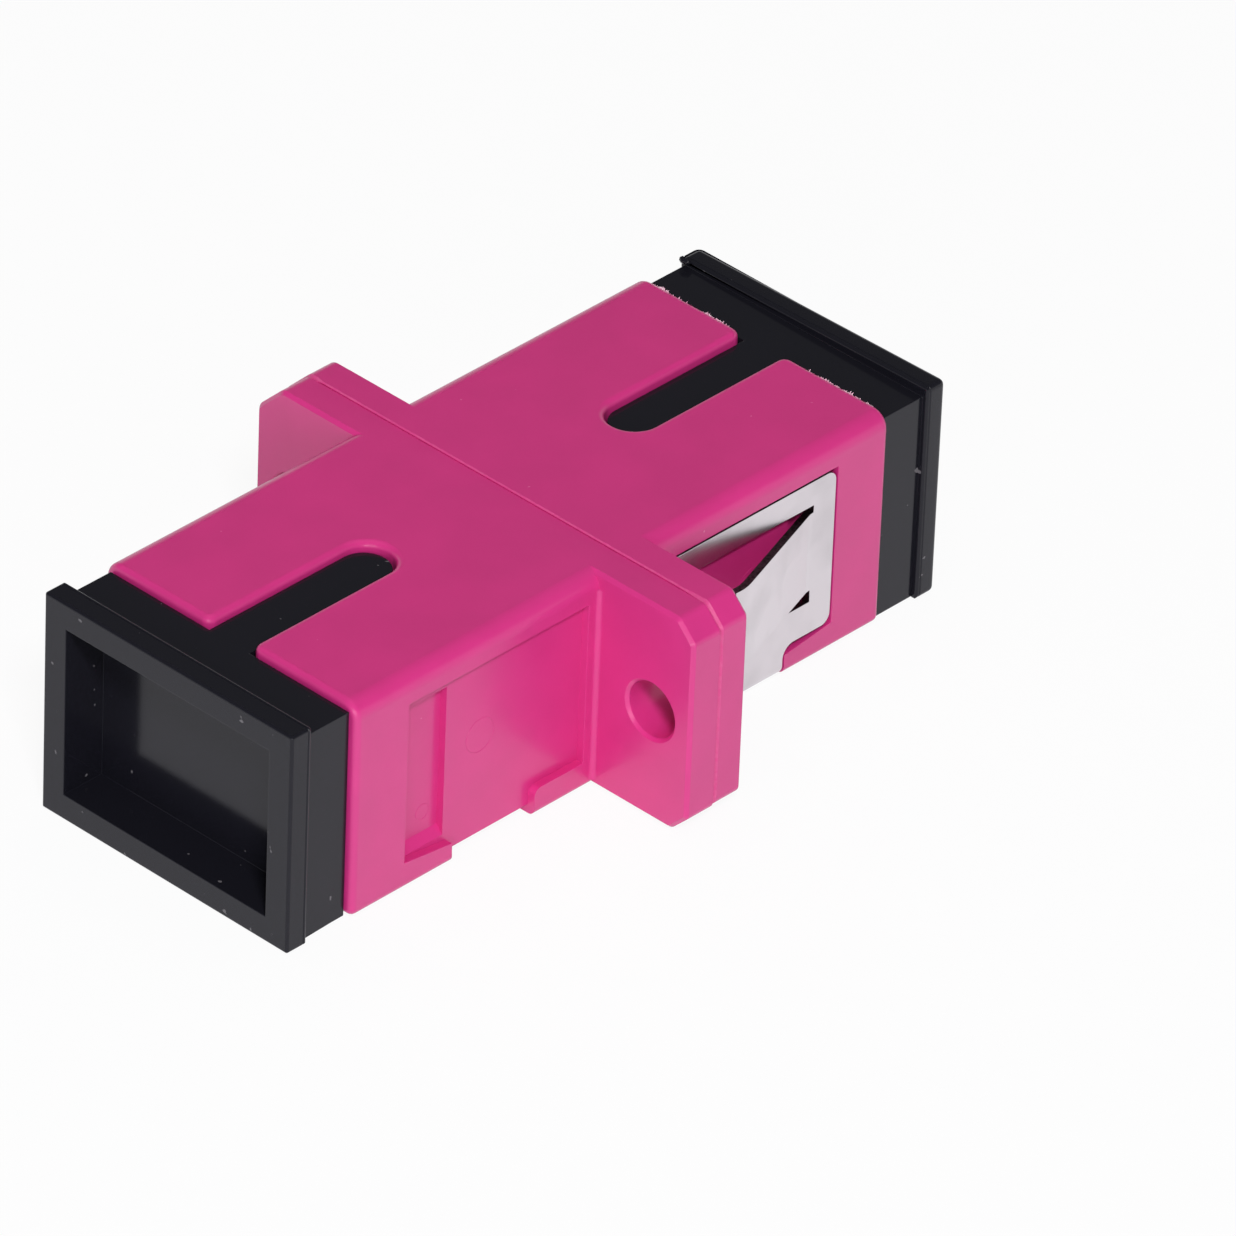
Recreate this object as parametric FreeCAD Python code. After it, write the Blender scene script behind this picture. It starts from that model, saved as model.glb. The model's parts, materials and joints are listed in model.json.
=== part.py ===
"""Simplex SC fibre adapter with a screw flange, a spring panel clip and two dust caps.

Millimetres. The origin is on the fibre axis, in the parting face between the two welded halves.
+X runs across the flange, +Y along the fibre to the rear port (the half with the clip), +Z up,
on the side of the key slots.

Every moulding is drawn as it sits in the front half (y < 0). The rear one is drawn there too and
then turned half a turn about Z.
"""
import FreeCAD
import Part
import math
import os

from FreeCAD import Vector

# --- Housing: two like mouldings, welded flange to flange ---------------------------------
half_length = 13.6          # parting face to port end
side_wall = 1.8             # port to the housing's side
top_wall = 0.825            # port to the housing's top and bottom
top_edge_radius = 0.7       # long edges beside the key slot
bottom_edge_radius = 0.3    # long edges underneath
rim_radius = 0.27           # round the port end and the key slot
skin_lift = 0.07            # the rear half's skin sits this much higher: the step seen at the weld

flange_thickness = 1.42     # each half's share
flange_chamfer = 0.8        # corners of the ears
keyed_chamfer = 1.22        # the upper left corner, cut back further to show which way round it is
keyed_corner_radius = 0.5
flange_corner_radius = 0.35 # both ends of the other cut corners
flange_edge_easing = 0.14   # slope round the front face
screw_pitch = 18.0
screw_hole = 2.25
ear_beyond_hole = 1.975     # hole centre to the end of the ear
screw_hole_easing = 0.12    # small countersink at the mouth of each hole

# --- Port and key slot ---------------------------------------------------------------------
port_width = 9.05
port_height = 7.45
port_corner_radius = 0.4
port_lead_in = 0.25
key_slot_width = 2.1
key_slot_length = 7.85
key_mouth_radius = 0.4

# --- Side recesses and bottom groove for the clip ------------------------------------------
recess_near = 1.92          # recess end beside the flange, from the parting face
recess_far = 10.97          # recess end beside the port
recess_top = 3.42
near_ledge_top = -3.40
far_ledge_top = -3.40       # at the recess end; the ledge falls away towards the groove
far_ledge_fall = 0.30
groove_near = 4.38          # groove that the clip's web crosses the bottom in
groove_far = 8.55
groove_corner_radius = 0.08
ledge_corner_radius = 0.3
grip_pocket_near = 8.75     # deeper pocket under the clip's far edge
grip_pocket_depth = 0.30    # below the recess floor
grip_pocket_top = 2.97
grip_pocket_foot = -3.05

# --- Panel clip: one folded sheet ----------------------------------------------------------
clip_thickness = 0.3
clip_seat_gap = 0.02        # between the sheet and the moulding under it
clip_sink = 0.01            # sheet face below the housing face
clip_edge_gap = 0.08        # sheet edge to recess edge
clip_corner_radius = 0.45
clip_neck_radius = 0.55
window_far = 9.75           # root line of the spring tongue
window_near = 3.55
window_top = 2.28
window_foot = -1.93
tongue_top_slit = 0.3       # slit above the tongue
tongue_foot_slit = 0.5      # slit below it
tongue_angle = 18.5         # degrees, flare from the leg
tongue_root_radius = 1.0
tongue_straight = 4.9
tongue_tip_radius = 1.8
tongue_tip_turn = 26.0      # degrees, the tip curls back towards the leg

# --- Sleeve holders and split sleeve -------------------------------------------------------
ferrule_diameter = 2.5
sleeve_wall = 0.35
sleeve_length = 11.4
sleeve_slit = 0.5
sleeve_chamfer = 0.12
sleeve_gap = 0.05           # sleeve to holder tube, all round and at each end
holder_tube_wall = 0.65
retaining_lip = 0.8         # length of the narrow mouth that traps the sleeve
lip_clearance = 0.17        # ferrule to that mouth, all round
holder_side_shoulder = 0.425  # plate beyond the port's side
holder_top_shoulder = 0.325   # plate beyond the port's top and bottom
holder_plate_thickness = 1.0
holder_gap = 0.05           # plate to its seat, all round
arm_clearance = 0.235       # latch arm to the dust cap's insert
arm_thickness = 0.75
arm_width = 3.0
arm_length = 7.2            # beyond the plate
hook_height = 0.7
hook_length = 1.5
hook_land = 0.35
arm_root_radius = 0.35

# --- Dust cap ------------------------------------------------------------------------------
cap_lip_width = 12.43
cap_lip_height = 9.3
cap_lip_thickness = 1.0
cap_length = 3.1            # lip face to housing end
cap_block_width = 11.97
cap_edge_easing = 0.08
cap_end_gap = 0.04          # cap shoulder to housing end
key_drop = 0.35             # key and block top below the housing top
key_gap = 0.04              # key to slot, each side
key_end_gap = 0.15
cap_pocket_width = 10.2
cap_pocket_height = 7.1
cap_pocket_depth = 1.9
cap_floor = 1.25
cap_fit_gap = 0.07          # insert to port, all round
cap_insert_length = 8.2
cap_insert_wall = 0.62
cap_insert_chamfer = 0.25

# --- Worked-out sizes ----------------------------------------------------------------------
body_width = port_width + 2 * side_wall
body_height = port_height + 2 * top_wall
flange_width = screw_pitch + 2 * ear_beyond_hole
cap_insert_width = port_width - 2 * cap_fit_gap
cap_insert_height = port_height - 2 * cap_fit_gap
sleeve_diameter = ferrule_diameter + 2 * sleeve_wall
tube_bore = sleeve_diameter + 2 * sleeve_gap
tube_diameter = tube_bore + 2 * holder_tube_wall
holder_plate_width = port_width + 2 * holder_side_shoulder
holder_plate_height = port_height + 2 * holder_top_shoulder
arm_outer_spacing = cap_insert_width - 2 * (cap_insert_wall + arm_clearance)
arm_spacing = arm_outer_spacing - 2 * arm_thickness
clip_recess = clip_seat_gap + clip_thickness + clip_sink
block_top = body_height / 2 - key_drop
OVERRUN = 1.0               # how far a cutter runs past the face that it opens


def box(x0, x1, y0, y1, z0, z1):
    return Part.makeBox(x1 - x0, y1 - y0, z1 - z0, Vector(x0, y0, z0))


def centred_box(width, height, y0, y1):
    return box(-width / 2, width / 2, y0, y1, -height / 2, height / 2)


def long_edges(solid, above):
    """The edges that run along Y, either above the fibre axis or below it."""
    found = []
    for edge in solid.Edges:
        first, last = edge.Vertexes[0].Point, edge.Vertexes[-1].Point
        runs_along = abs(first.y - last.y) > 0.9 * edge.Length
        if runs_along and (first.z > 0) == above:
            found.append(edge)
    return found


def rounded_block(width, height, y0, y1, top_radius, bottom_radius):
    """Block along Y with its long edges rounded."""
    block = centred_box(width, height, y0, y1)
    block = block.makeFillet(top_radius, long_edges(block, True))
    return block.makeFillet(bottom_radius, long_edges(block, False))


def rectangle_wire(width, height, y):
    corners = [(-1, -1), (1, -1), (1, 1), (-1, 1), (-1, -1)]
    return Part.makePolygon([Vector(sx * width / 2, y, sz * height / 2) for sx, sz in corners])


def tapered_block(width0, height0, y0, width1, height1, y1):
    """Four-sided taper along Y between two rectangles."""
    wires = [rectangle_wire(width0, height0, y0), rectangle_wire(width1, height1, y1)]
    return Part.makeLoft(wires, True, True)


def prism_along_x(outline, x0, x1):
    """Closed (y, z) outline pushed along X."""
    wire = Part.makePolygon([Vector(x0, y, z) for y, z in outline + outline[:1]])
    return Part.Face(wire).extrude(Vector(x1 - x0, 0, 0))


def round_corners(solid, spots, direction):
    """Rounds the straight edges along `direction` that stand at the given spots.

    Each spot is ((a, b), radius), with a and b the edge's place across the direction.
    """
    for (a, b), radius in spots:
        chosen = []
        for edge in solid.Edges:
            first, last = edge.Vertexes[0].Point, edge.Vertexes[-1].Point
            along = abs((last - first).dot(direction)) > 0.9 * edge.Length
            place = [value for value, step in zip(first, direction) if not step]
            if along and math.hypot(place[0] - a, place[1] - b) < 1e-4:
                chosen.append(edge)
        solid = solid.makeFillet(radius, chosen)
    return solid


def both_sides(solid):
    """The solid and its mirror image across the fibre axis, left to right."""
    return [solid, solid.mirror(Vector(0, 0, 0), Vector(1, 0, 0))]


def turned(solid):
    """The same piece, half a turn about Z: from the front half to the rear half."""
    result = solid.copy()
    result.rotate(Vector(0, 0, 0), Vector(0, 0, 1), 180)
    return result


def slot_plan(half_width, y_open, y_end, mouth_radius):
    """Key slot seen from above: parallel sides, a round closed end, and a flared mouth."""
    centre_y = y_end - half_width
    reach = half_width + mouth_radius
    start_y = y_open + mouth_radius
    bend = mouth_radius * (1 - math.sqrt(0.5))
    right = [
        Part.LineSegment(Vector(reach, y_open - OVERRUN, 0), Vector(reach, y_open, 0)),
        Part.Arc(Vector(reach, y_open, 0),
                 Vector(half_width + bend, y_open + bend, 0),
                 Vector(half_width, start_y, 0)),
        Part.LineSegment(Vector(half_width, start_y, 0), Vector(half_width, centre_y, 0)),
    ]
    closed_end = Part.Arc(Vector(half_width, centre_y, 0), Vector(0, y_end, 0),
                          Vector(-half_width, centre_y, 0))
    left = [
        Part.LineSegment(Vector(-half_width, centre_y, 0), Vector(-half_width, start_y, 0)),
        Part.Arc(Vector(-half_width, start_y, 0),
                 Vector(-half_width - bend, y_open + bend, 0),
                 Vector(-reach, y_open, 0)),
        Part.LineSegment(Vector(-reach, y_open, 0), Vector(-reach, y_open - OVERRUN, 0)),
    ]
    mouth = Part.LineSegment(Vector(-reach, y_open - OVERRUN, 0), Vector(reach, y_open - OVERRUN, 0))
    edges = [curve.toShape() for curve in right + [closed_end] + left + [mouth]]
    return Part.Face(Part.Wire(edges))


# --- Housing -------------------------------------------------------------------------------

def slotted_body():
    """Outer block of one half with its key slot, the rim rounded all the way round."""
    body = rounded_block(body_width, body_height, -half_length, 0, top_edge_radius, bottom_edge_radius)
    slot_half = key_slot_width / 2
    slot_end = -half_length + key_slot_length
    plan = slot_plan(slot_half, -half_length, slot_end, key_mouth_radius)
    plan.translate(Vector(0, 0, port_height / 2 - OVERRUN))
    body = body.cut(plan.extrude(Vector(0, 0, body_height)))

    mouth_reach = slot_half + key_mouth_radius + 1e-3
    rim = []
    for edge in body.Edges:
        middle = edge.valueAt((edge.FirstParameter + edge.LastParameter) / 2)
        ends = [vertex.Point for vertex in edge.Vertexes]
        at_end = all(abs(point.y + half_length) < 1e-4 for point in ends + [middle])
        at_top = all(abs(point.z - body_height / 2) < 1e-4 for point in ends + [middle])
        in_slot = abs(middle.x) < mouth_reach and middle.z > 0
        if (at_end and not in_slot) or (at_top and in_slot):
            rim.append(edge)
    return body.makeFillet(rim_radius, rim)


def flange_slab(keyed_side):
    """One half of the flange: a plate with its corners cut off and its front edges eased.

    `keyed_side` is -1 or 1: the side whose upper corner is cut back further and rounded.
    """
    half_w, half_h, cut, key_cut = flange_width / 2, body_height / 2, flange_chamfer, keyed_chamfer
    corners = [
        (half_w, half_h - cut), (half_w - cut, half_h), (key_cut - half_w, half_h),
        (-half_w, half_h - key_cut), (-half_w, cut - half_h), (cut - half_w, -half_h),
        (half_w - cut, -half_h), (half_w, cut - half_h),
    ]
    points = [Vector(-keyed_side * x, -flange_thickness, z) for x, z in corners + corners[:1]]
    slab = Part.Face(Part.makePolygon(points)).extrude(Vector(0, flange_thickness, 0))
    spots = []
    for x, z in corners:
        is_keyed = x < 0 and z > 0
        spots.append(((-keyed_side * x, z), keyed_corner_radius if is_keyed else flange_corner_radius))
    slab = round_corners(slab, spots, Vector(0, 1, 0))
    front = [edge for edge in slab.Edges
             if all(abs(vertex.Y + flange_thickness) < 1e-4 for vertex in edge.Vertexes)]
    return slab.makeChamfer(flange_edge_easing, front)


def clip_recess_cutter():
    """What the clip's legs and web take out of one side and the bottom of a half."""
    face = body_width / 2
    floor = face - clip_recess
    below = -body_height / 2 - OVERRUN
    outline = [
        (-recess_near, recess_top), (-recess_far, recess_top), (-recess_far, far_ledge_top),
        (-groove_far, far_ledge_top - far_ledge_fall), (-groove_far, below), (-groove_near, below),
        (-groove_near, near_ledge_top), (-recess_near, near_ledge_top),
    ]
    side = prism_along_x(outline, floor, face + OVERRUN)
    spots = [((-groove_near, near_ledge_top), ledge_corner_radius)]
    side = round_corners(side, spots, Vector(1, 0, 0))

    pocket_floor = floor - grip_pocket_depth
    section = [
        Vector(face + OVERRUN, -recess_far, grip_pocket_top),
        Vector(pocket_floor, -recess_far, grip_pocket_top),
        Vector(pocket_floor, -recess_far, grip_pocket_foot),
        Vector(floor, -recess_far, far_ledge_top),
        Vector(face + OVERRUN, -recess_far, far_ledge_top),
    ]
    pocket = Part.Face(Part.makePolygon(section + section[:1]))
    pocket = pocket.extrude(Vector(0, recess_far - grip_pocket_near, 0))
    return side.fuse(pocket)


def web_groove_cutter():
    """Groove across the bottom for the clip's web, its bottom corners rounded like the clip's bends."""
    core = rounded_block(body_width - 2 * clip_recess, body_height - 2 * clip_recess,
                         -half_length, 0, groove_corner_radius, groove_corner_radius)
    reach = body_width / 2 + OVERRUN
    band = box(-reach, reach, -groove_far, -groove_near, -body_height / 2 - OVERRUN, near_ledge_top)
    return band.cut(core)


def housing_half(lift, keyed_side):
    """One welded half. Its skin sits `lift` above the core that shapes the port."""
    skin = slotted_body().fuse(flange_slab(keyed_side)).removeSplitter()
    skin = skin.cut(Part.makeCompound(both_sides(clip_recess_cutter())))
    skin = skin.cut(web_groove_cutter())
    skin.translate(Vector(0, 0, lift))

    port = rounded_block(port_width, port_height, -half_length - OVERRUN, 0,
                         port_corner_radius, port_corner_radius)
    lead_in = tapered_block(port_width + 2 * port_lead_in, port_height + 2 * port_lead_in, -half_length,
                            port_width, port_height, -half_length + port_lead_in)
    seat = centred_box(holder_plate_width + 2 * holder_gap, holder_plate_height + 2 * holder_gap,
                       -holder_plate_thickness, OVERRUN)
    half = skin.cut(port).cut(lead_in).cut(seat)
    for x in (-screw_pitch / 2, screw_pitch / 2):
        hole = Part.makeCylinder(screw_hole / 2, flange_thickness + 2 * OVERRUN,
                                 Vector(x, OVERRUN, 0), Vector(0, -1, 0))
        mouth = Part.makeCone(screw_hole / 2, screw_hole / 2 + screw_hole_easing, screw_hole_easing,
                              Vector(x, screw_hole_easing - flange_thickness, 0), Vector(0, -1, 0))
        half = half.cut(hole).cut(mouth)
    return half


# --- Inner pieces --------------------------------------------------------------------------

def latch_arm():
    """The right-hand latch arm: a slim beam with an inward hook, its ramp facing the port."""
    inner = arm_spacing / 2
    outer = arm_outer_spacing / 2
    root = -holder_plate_thickness
    tip = root - arm_length
    plan = [
        (outer, root), (outer, tip), (inner, tip), (inner - hook_height, tip + hook_length - hook_land),
        (inner - hook_height, tip + hook_length), (inner, tip + hook_length), (inner, root),
    ]
    points = [Vector(x, y, -arm_width / 2) for x, y in plan + plan[:1]]
    return Part.Face(Part.makePolygon(points)).extrude(Vector(0, 0, arm_width))


def sleeve_holder():
    """Plate with a central tube for the split sleeve and two latch arms that grip the plug."""
    plate = centred_box(holder_plate_width, holder_plate_height, -holder_plate_thickness, 0)
    tube_end = -(sleeve_length / 2 + sleeve_gap + retaining_lip)
    tube = Part.makeCylinder(tube_diameter / 2, -tube_end, Vector(0, tube_end, 0), Vector(0, 1, 0))
    holder = plate.fuse([tube] + both_sides(latch_arm()))

    roots = []
    for edge in holder.Edges:
        first, last = edge.Vertexes[0].Point, edge.Vertexes[-1].Point
        upright = abs(first.z - last.z) > 0.9 * edge.Length
        at_plate = abs(first.y + holder_plate_thickness) < 1e-4
        if upright and at_plate and abs(abs(first.x) - arm_outer_spacing / 2) < 1e-4:
            roots.append(edge)
    holder = holder.makeFillet(arm_root_radius, roots)

    bore = Part.makeCylinder(tube_bore / 2, sleeve_length / 2 + sleeve_gap + OVERRUN,
                             Vector(0, OVERRUN, 0), Vector(0, -1, 0))
    mouth = Part.makeCylinder(ferrule_diameter / 2 + lip_clearance, OVERRUN - tube_end,
                              Vector(0, tube_end - OVERRUN, 0), Vector(0, 1, 0))
    return holder.cut(bore).cut(mouth)


def alignment_sleeve():
    """Split tube: its bore closes on the two ferrules and lines them up."""
    start = Vector(0, -sleeve_length / 2, 0)
    axis = Vector(0, 1, 0)
    tube = Part.makeCylinder(sleeve_diameter / 2, sleeve_length, start, axis)
    tube = tube.cut(Part.makeCylinder(ferrule_diameter / 2, sleeve_length, start, axis))
    ends = [edge for edge in tube.Edges
            if len(edge.Vertexes) == 1 and abs(abs(edge.Vertexes[0].Y) - sleeve_length / 2) < 1e-4]
    tube = tube.makeChamfer(sleeve_chamfer, ends)
    slit = box(-sleeve_slit / 2, sleeve_slit / 2, -sleeve_length, sleeve_length, 0, sleeve_diameter)
    return tube.cut(slit)


# --- Clip ----------------------------------------------------------------------------------

def bent_strip(start, heading, steps, thickness):
    """Face of a bent sheet seen edge-on, in a plane with axes (a, b).

    `start` is on the sheet's middle line and `heading` is in degrees. Each step is
    ("run", length) or ("bend", degrees, middle radius), with left bends positive.
    """
    left, right = [], []
    a, b = start
    angle = math.radians(heading)

    def beside(a0, b0, direction, distance):
        return Vector(a0 - math.sin(direction) * distance, b0 + math.cos(direction) * distance, 0)

    for step in steps:
        if step[0] == "run":
            a1, b1 = a + math.cos(angle) * step[1], b + math.sin(angle) * step[1]
            for side, edges in ((thickness / 2, left), (-thickness / 2, right)):
                edges.append(Part.LineSegment(beside(a, b, angle, side), beside(a1, b1, angle, side)))
            a, b = a1, b1
            continue
        turn, radius = math.radians(step[1]), step[2]
        hand = 1 if turn > 0 else -1
        centre = beside(a, b, angle, hand * radius)
        spots = []
        for share in (0.5, 1.0):
            direction = angle + turn * share
            spots.append((centre.x + hand * radius * math.sin(direction),
                          centre.y - hand * radius * math.cos(direction), direction))
        for side, edges in ((thickness / 2, left), (-thickness / 2, right)):
            edges.append(Part.Arc(beside(a, b, angle, side), beside(*spots[0], side),
                                  beside(*spots[1], side)))
        a, b, angle = spots[1]
    loop = [curve.toShape() for curve in left]
    loop.append(Part.LineSegment(left[-1].EndPoint, right[-1].EndPoint).toShape())
    loop += [curve.toShape() for curve in reversed(right)]
    loop.append(Part.LineSegment(right[0].StartPoint, left[0].StartPoint).toShape())
    return Part.Face(Part.Wire(Part.__sortEdges__(loop)))


def clip_outline():
    """Side view of the folded clip, pushed right across: wide legs on a narrow neck and web."""
    top = recess_top - clip_edge_gap
    far = -recess_far + clip_edge_gap
    near = -recess_near - clip_edge_gap
    neck_far = -groove_far + clip_edge_gap
    neck_near = -groove_near - clip_edge_gap
    foot = far_ledge_top + clip_edge_gap
    near_foot = near_ledge_top + clip_edge_gap
    below = -body_height
    outline = [
        (near, top), (far, top), (far, foot), (neck_far, foot), (neck_far, below),
        (neck_near, below), (neck_near, near_foot), (near, near_foot),
    ]
    reach = body_width
    solid = prism_along_x(outline, -reach, reach)
    spots = [
        ((near, top), clip_corner_radius), ((far, top), clip_corner_radius),
        ((far, foot), clip_corner_radius), ((near, near_foot), clip_corner_radius),
        ((neck_far, foot), clip_neck_radius),
    ]
    return round_corners(solid, spots, Vector(1, 0, 0))


def panel_clip():
    """Spring sheet folded into a U under the housing, with a flared tongue cut in each leg."""
    middle_x = body_width / 2 - clip_sink - clip_thickness / 2
    middle_z = -body_height / 2 + clip_sink + clip_thickness / 2
    bend = groove_corner_radius + clip_seat_gap + clip_thickness / 2
    leg = recess_top - middle_z - bend
    u_section = bent_strip((-middle_x, recess_top), -90, [
        ("run", leg), ("bend", 90, bend), ("run", 2 * (middle_x - bend)), ("bend", 90, bend), ("run", leg),
    ], clip_thickness)
    u_section.rotate(Vector(0, 0, 0), Vector(1, 0, 0), 90)
    u_section.translate(Vector(0, -recess_near, 0))
    sheet = u_section.extrude(Vector(0, recess_near - recess_far, 0)).common(clip_outline())

    window = box(-body_width, body_width, -window_far, -window_near, window_foot, window_top)
    sheet = sheet.cut(window)
    return sheet.fuse(both_sides(spring_tongue(middle_x))).removeSplitter()


def spring_tongue(middle_x):
    """The right-hand tongue: bends out of the leg at the window's far edge, its tip curled back."""
    root = ("run", clip_thickness)
    section = bent_strip((middle_x, -window_far - clip_thickness), 90, [
        root, ("bend", -tongue_angle, tongue_root_radius), ("run", tongue_straight),
        ("bend", tongue_tip_turn, tongue_tip_radius),
    ], clip_thickness)
    foot = window_foot + tongue_foot_slit
    width = window_top - tongue_top_slit - foot
    section.translate(Vector(0, 0, foot))
    return section.extrude(Vector(0, 0, width))


# --- Dust cap ------------------------------------------------------------------------------

def cap_key(y_shoulder):
    """Key along the cap's top with a round end, filling the housing's key slot."""
    half = key_slot_width / 2 - key_gap
    y_end = -half_length + key_slot_length - key_end_gap
    bar = box(-half, half, y_shoulder, y_end - half, 0, block_top)
    nose = Part.makeCylinder(half, block_top, Vector(0, y_end - half, 0))
    return bar.fuse(nose)


def dust_cap():
    """Moulded cap: a lip to pull by, a block outside the port, and a hollow insert inside it."""
    lip_face = -half_length - cap_length
    lip_back = lip_face + cap_lip_thickness
    shoulder = -half_length - cap_end_gap
    lip = centred_box(cap_lip_width, cap_lip_height, lip_face, lip_back)
    lip = lip.makeChamfer(cap_edge_easing, lip.Edges)
    block = box(-cap_block_width / 2, cap_block_width / 2, lip_back - cap_edge_easing, shoulder,
                -body_height / 2, block_top)

    insert_end = -half_length + cap_insert_length
    insert = rounded_block(cap_insert_width, cap_insert_height, shoulder - cap_floor / 2, insert_end,
                           port_corner_radius, port_corner_radius)
    nose_edges = [edge for edge in insert.Edges
                  if all(abs(vertex.Y - insert_end) < 1e-4 for vertex in edge.Vertexes)]
    insert = insert.makeChamfer(cap_insert_chamfer, nose_edges)

    cap = block.fuse([lip, insert, cap_key(shoulder - cap_floor / 2)]).removeSplitter()
    pocket_floor = lip_face + cap_pocket_depth
    pocket = centred_box(cap_pocket_width, cap_pocket_height, lip_face - OVERRUN, pocket_floor)
    hollow = centred_box(cap_insert_width - 2 * cap_insert_wall, cap_insert_height - 2 * cap_insert_wall,
                         pocket_floor + cap_floor, insert_end + OVERRUN)
    return cap.cut(pocket).cut(hollow)


def checked(name, shape):
    """One valid closed solid, as every piece of this object is."""
    if isinstance(shape, Part.Compound) and len(shape.Solids) == 1:
        shape = shape.Solids[0]
    if not shape.isValid() or len(shape.Solids) != 1:
        raise RuntimeError(f"{name}: {len(shape.Solids)} solids, valid {shape.isValid()}")
    return shape


def lifted(shape):
    """Carried by the rear half's skin."""
    result = shape.copy()
    result.translate(Vector(0, 0, skin_lift))
    return result


def build():
    cap = dust_cap()
    holder = sleeve_holder()
    return {
        "housing_front": housing_half(0, -1),
        "housing_rear": turned(housing_half(skin_lift, 1)),
        "sleeve_holder_front": holder,
        "sleeve_holder_rear": turned(holder),
        "alignment_sleeve": alignment_sleeve(),
        "panel_clip": lifted(turned(panel_clip())),
        "dust_cap_front": cap,
        "dust_cap_rear": turned(cap),
    }


os.makedirs("parts", exist_ok=True)
for name, shape in build().items():
    solid = checked(name, shape)
    solid.exportStep(f"parts/{name}.step")
    extent = solid.BoundBox
    print(f"{name}: {solid.Volume:.2f} mm3, x {extent.XMin:.2f}..{extent.XMax:.2f}, "
          f"y {extent.YMin:.2f}..{extent.YMax:.2f}, z {extent.ZMin:.2f}..{extent.ZMax:.2f}")
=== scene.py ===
"""Looks for a simplex SC fibre adapter: welded magenta housing, spring clip and two dust caps."""

import json
import math
import random

import bmesh
import bpy
from mathutils import Matrix, Vector
from mathutils.bvhtree import BVHTree
from bpy.props import FloatProperty, FloatVectorProperty, PointerProperty


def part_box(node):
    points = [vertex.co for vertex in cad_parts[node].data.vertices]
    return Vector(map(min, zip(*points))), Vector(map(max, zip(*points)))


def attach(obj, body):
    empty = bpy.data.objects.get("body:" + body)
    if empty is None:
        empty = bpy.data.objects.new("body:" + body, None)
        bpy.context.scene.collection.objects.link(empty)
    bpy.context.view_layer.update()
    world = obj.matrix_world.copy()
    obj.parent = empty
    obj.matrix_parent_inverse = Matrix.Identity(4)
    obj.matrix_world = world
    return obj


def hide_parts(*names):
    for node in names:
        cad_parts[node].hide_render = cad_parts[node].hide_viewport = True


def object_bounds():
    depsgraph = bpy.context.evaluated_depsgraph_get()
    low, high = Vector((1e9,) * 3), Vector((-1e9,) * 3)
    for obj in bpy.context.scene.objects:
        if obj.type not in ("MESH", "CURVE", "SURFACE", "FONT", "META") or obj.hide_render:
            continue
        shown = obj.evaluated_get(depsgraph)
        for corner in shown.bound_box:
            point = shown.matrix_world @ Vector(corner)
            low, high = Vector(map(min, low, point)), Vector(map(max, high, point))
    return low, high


bl_info = {
    "name": "SC Fibre Adapter",
    "version": (1, 0, 0),
    "blender": (4, 5, 0),
    "location": "3D View > Sidebar > Fibre Adapter",
    "description": "Dresses a flanged fibre adapter with its clip and dust caps",
    "category": "Object",
}

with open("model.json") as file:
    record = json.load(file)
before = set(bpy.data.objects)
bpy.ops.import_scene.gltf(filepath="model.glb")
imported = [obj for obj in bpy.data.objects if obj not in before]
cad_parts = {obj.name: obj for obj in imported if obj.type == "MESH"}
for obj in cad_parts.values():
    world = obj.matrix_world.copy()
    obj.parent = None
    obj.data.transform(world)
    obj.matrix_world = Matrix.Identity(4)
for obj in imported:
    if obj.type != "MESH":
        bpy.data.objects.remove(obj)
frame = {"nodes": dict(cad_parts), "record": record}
CAD_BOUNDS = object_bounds()
MM = 0.001
JOINED = 0.0002 * MM          # points closer together than this are one point
SAME = 0.001 * MM             # places closer together than this are the same place
BESIDE = 0.01 * MM            # within this, an edge lies on a wall or on the weld's chamfer
FLAT = math.radians(0.4)      # faces that turn from each other by less than this are one flat face
SHARP = math.radians(32)      # an edge that turns by more than this is sharp
REACH = math.radians(40)      # smooth normals reach across a turn of up to this
SHOT_OFF = 0.4                # a bevel's corner this share of its width off the surface is pulled back
ROOM = 1.5                    # room that an edge needs beside it, as a multiple of its easing

# The flange's screw holes, from the record
SCREWS = frame["record"]["mounts"][0]["dims"]
HOLE_X = SCREWS["spacing_x_mm"] * MM / 2
HOLE_ROOM = 1.3 * SCREWS["hole_r_mm"] * MM     # edges nearer to a hole's middle belong to the hole

# The housing's edges
PORT_END = 1.0 * MM           # stretch behind the port's end that has only the flat sides
PORT_ROOM = 0.3 * MM          # edges further in from the sides than this belong to the ports
FLANGE_FROM = 0.1 * MM        # edges further out from the sides than this belong to the flange
ALONG = 0.9                   # an edge with more than this share of its length on an axis is along it
SQUARE = 0.1                  # a face with less than this of its normal on Y is square to the weld
FRONT_WELD = 0.35             # the front half's weld chamfer, as a share of the rear half's
TOP_WELD = 0.4                # share of the rear chamfer that is left along the top and the bottom
WELD_BAND = 0.15 * MM         # corners of the chamfer lie this near to the skin

# The flash along the rear port's rim
RIM_ROUND = 0.27 * MM         # radius of the rounded rim
RIM_DROP = 0.03 * MM          # the rounding's crown lies this far below the housing's highest point
RIM_LEAN = math.radians(43)   # how far the fins lean from upright towards the port's end
FIN_HALF = 0.011 * MM         # half the fin's thickness at its root
FIN_SUNK = 0.03               # mm that the root lies below the rim's surface
FIN_UNEVEN = (0.3, 1.3)       # shares of the course's height between which each point falls
FIN_THREADS = 0.09            # share of the points that are drawn out into threads
FIN_THREAD = (0.03, 0.11)     # mm that a thread adds
FIN_STEP = (0.02, 0.05)       # mm from one point to the next
FIN_BELOW_TOP = 0.005 * MM    # the tips stay this far below the housing's highest point
FLASH_SEED = 11
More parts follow.
